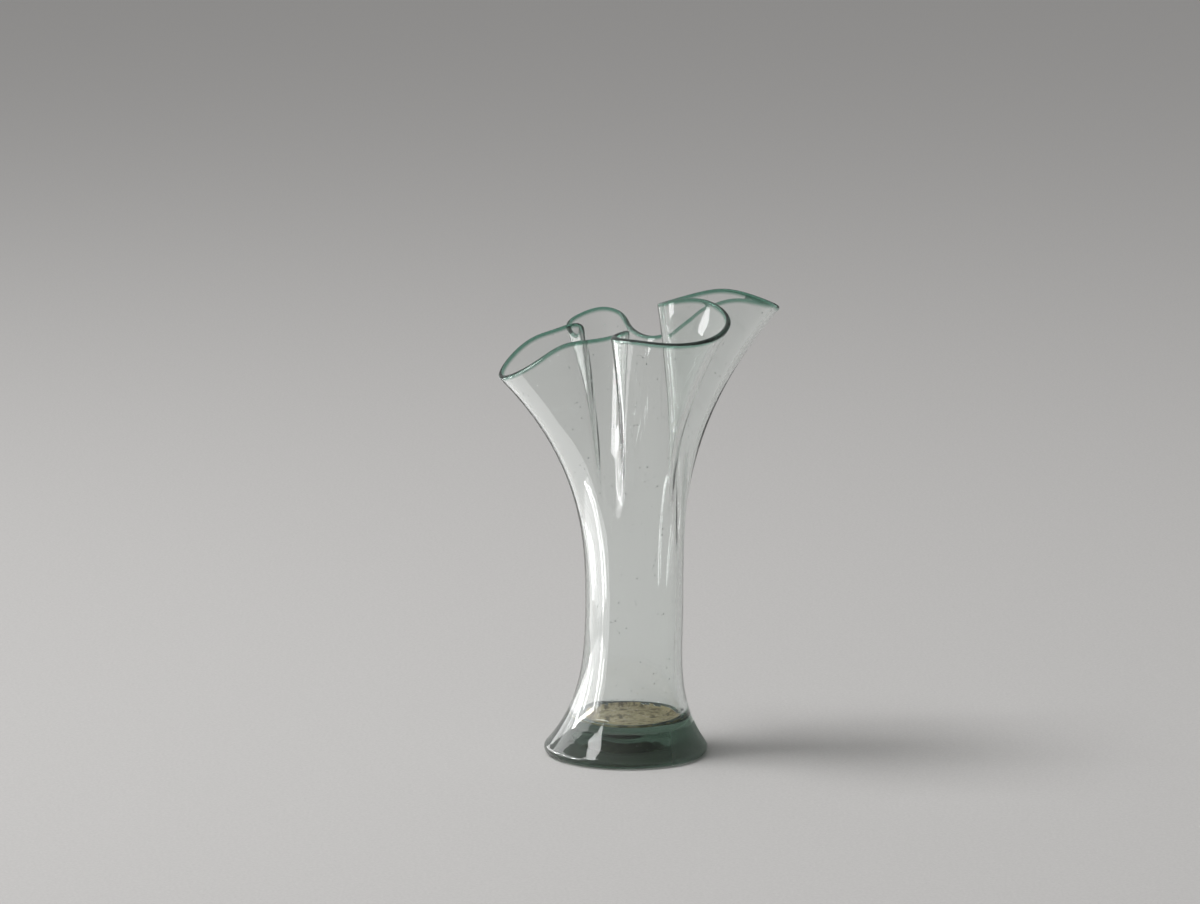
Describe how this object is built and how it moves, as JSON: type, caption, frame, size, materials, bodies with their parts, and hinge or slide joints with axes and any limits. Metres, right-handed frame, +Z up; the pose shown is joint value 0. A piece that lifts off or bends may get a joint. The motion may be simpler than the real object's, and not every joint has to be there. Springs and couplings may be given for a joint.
{
  "type": "ruffled glass vase",
  "caption": "Hand-blown pale green glass vase with a slender waist, a thick flared foot and a ruffled, folded mouth.",
  "frame": {"origin": "centre of the flat ring that the foot rests on", "axes": "+Z up through the mouth, -Y towards the front fold of the mouth, +X towards the tallest side fold"},
  "size_m": [0.1065, 0.0829, 0.1795],
  "materials": {
    "clear_glass": "fire-polished",
    "foot_glass": "fire-polished"
  },
  "bodies": {
    "root": {"blown_body": "clear_glass", "foot": "foot_glass", "pontil_wad": "foot_glass"}
  },
  "joints": []
}
